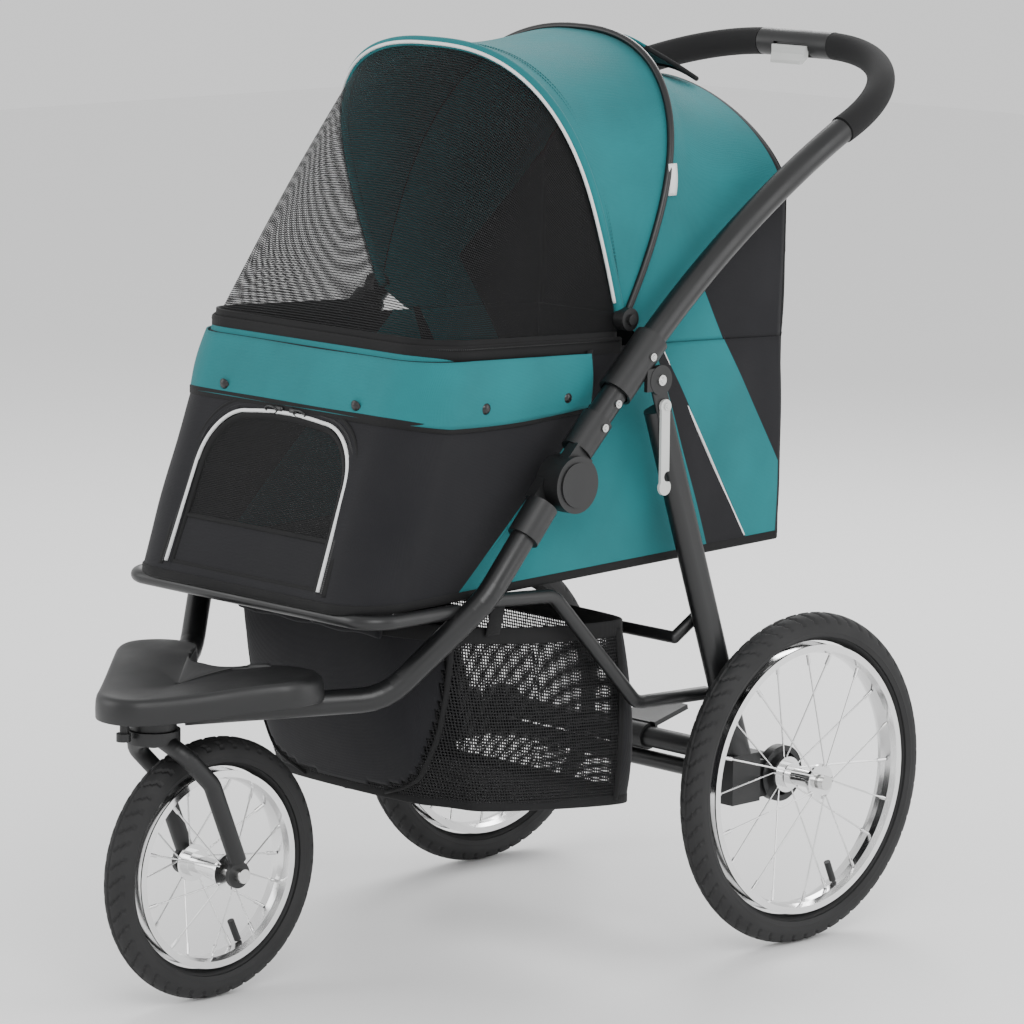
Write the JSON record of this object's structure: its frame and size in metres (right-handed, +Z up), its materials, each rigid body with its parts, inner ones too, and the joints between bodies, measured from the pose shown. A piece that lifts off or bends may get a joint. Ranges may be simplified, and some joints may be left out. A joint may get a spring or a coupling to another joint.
{
  "type": "pet stroller",
  "caption": "Three-wheel folding pet stroller with zipped mesh hood, padded cabin, front door flap, storage basket, swivel front wheel and spoked pneumatic wheels.",
  "frame": {"origin": "on the ground, under the middle of the whole stroller's box", "axes": "+Z up, -Y forward towards the swivelling front wheel, +X to the stroller's left side"},
  "size_m": [0.62, 1.1015, 1.061],
  "materials": {
    "black_tube": "satin black powder coat",
    "black_plastic": "moulded, satin",
    "foam_grip": "closed-cell foam, matte",
    "steel": "bright zinc plating",
    "polished_rim": "polished",
    "tyre_rubber": "matte rubber",
    "grey_plastic": "light grey, satin",
    "black_fabric": "woven oxford cloth",
    "teal_fabric": "woven oxford cloth",
    "black_mesh": "open mesh netting"
  },
  "bodies": {
    "root": {"front_tube_left": "black_tube", "front_tube_right": "black_tube", "head_block": "black_plastic", "nose_cover": "black_plastic", "seat_bar": "black_tube", "fold_hub_left": "black_plastic", "fold_hub_right": "black_plastic", "cabin_shell": "black_fabric", "cabin_cushion": "black_fabric", "rim_band": "teal_fabric", "band_snaps": "black_plastic", "canopy": "teal_fabric", "main_bow": "black_tube", "hood_hinges": "black_plastic", "basket": "black_mesh"},
    "front_hood": {"front_bow": "black_tube", "mesh_dome": "black_mesh"},
    "door": {"front_door": "black_mesh"},
    "upper_frame": {"upper_tube_left": "black_tube", "upper_tube_right": "black_tube", "handle_bar": "black_tube", "handle_grip": "foam_grip", "release_housing": "black_plastic", "leg_bracket_left": "black_plastic", "leg_bracket_right": "black_plastic", "fold_cap_left": "black_plastic", "fold_cap_right": "black_plastic", "frame_bolts": "steel"},
    "lever": {"release_lever": "grey_plastic"},
    "rear_frame": {"rear_leg_left": "black_tube", "rear_leg_right": "black_tube", "rear_cross_bar": "black_tube", "axle_tube": "black_tube", "brake_bar": "black_tube", "axle_casting_left": "black_plastic", "axle_casting_right": "black_plastic", "rear_axles": "steel"},
    "pedal": {"brake_pedal": "black_plastic"},
    "hook": {"transport_hook": "grey_plastic"},
    "links": {"side_link_left": "black_tube", "side_link_right": "black_tube"},
    "fork": {"front_fork": "black_tube", "front_axle": "steel"},
    "swivel_lock": {"swivel_lock": "black_plastic"},
    "rear_wheel_left": {"rear_tyre_left": "tyre_rubber", "rear_rim_left": "polished_rim", "rear_hub_left": "steel", "rear_spokes_left": "steel", "rear_valve_left": "tyre_rubber"},
    "rear_wheel_right": {"rear_tyre_right": "tyre_rubber", "rear_rim_right": "polished_rim", "rear_hub_right": "steel", "rear_spokes_right": "steel", "rear_valve_right": "tyre_rubber"},
    "front_wheel": {"front_tyre": "tyre_rubber", "front_rim": "polished_rim", "front_hub": "steel", "front_spokes": "steel", "front_valve": "tyre_rubber"}
  },
  "joints": [
    {"name": "frame_fold", "type": "hinge", "parent": "root", "child": "upper_frame", "pos_m": [0, -0.088, 0.576], "axis": [1, 0, 0], "range_deg": [0, 105], "deforming": ["cabin_shell", "cabin_cushion", "basket"]},
    {"name": "leg_fold", "type": "hinge", "parent": "upper_frame", "child": "rear_frame", "pos_m": [0, 0.042, 0.681], "axis": [1, 0, 0], "range_deg": [-46, 1]},
    {"name": "link_fold", "type": "hinge", "parent": "root", "child": "links", "pos_m": [0, -0.2, 0.452], "axis": [1, 0, 0], "range_deg": [-1, 46]},
    {"name": "hood_open", "type": "hinge", "parent": "root", "child": "front_hood", "pos_m": [0, 0.032, 0.746], "axis": [-1, 0, 0], "range_deg": [0, 30], "deforming": ["canopy"]},
    {"name": "door_open", "type": "hinge", "parent": "root", "child": "door", "pos_m": [0, -0.35654, 0.466], "axis": [1, 0, 0], "range_deg": [0, 115]},
    {"name": "lever_squeeze", "type": "hinge", "parent": "upper_frame", "child": "lever", "pos_m": [0, 0.5174, 1.0159], "axis": [-1, 0, 0], "range_deg": [0, 14], "stiffness_Nm_per_rad": 0.6},
    {"name": "brake_press", "type": "hinge", "parent": "rear_frame", "child": "pedal", "pos_m": [0, 0.267, 0.204], "axis": [-1, 0, 0], "range_deg": [0, 22]},
    {"name": "hook_swing", "type": "hinge", "parent": "rear_frame", "child": "hook", "pos_m": [0.25, 0.0525, 0.65], "axis": [1, 0, 0], "range_deg": [-65, 80]},
    {"name": "fork_swivel", "type": "hinge", "parent": "root", "child": "fork", "pos_m": [0, -0.485, 0.3], "axis": [0, 0, 1], "continuous": true},
    {"name": "swivel_lock_press", "type": "slide", "parent": "root", "child": "swivel_lock", "axis": [0, 0, 1], "range_m": [0, 0.006]},
    {"name": "front_wheel_spin", "type": "hinge", "parent": "fork", "child": "front_wheel", "pos_m": [0, -0.403, 0.148], "axis": [1, 0, 0], "continuous": true},
    {"name": "rear_wheel_left_spin", "type": "hinge", "parent": "rear_frame", "child": "rear_wheel_left", "pos_m": [0.269, 0.269, 0.195], "axis": [1, 0, 0], "continuous": true},
    {"name": "rear_wheel_right_spin", "type": "hinge", "parent": "rear_frame", "child": "rear_wheel_right", "pos_m": [-0.269, 0.269, 0.195], "axis": [1, 0, 0], "continuous": true}
  ],
  "couplings": [
    {"joint": "leg_fold", "follows": "frame_fold", "ratio": -0.4219},
    {"joint": "link_fold", "follows": "frame_fold", "ratio": 0.4198}
  ]
}
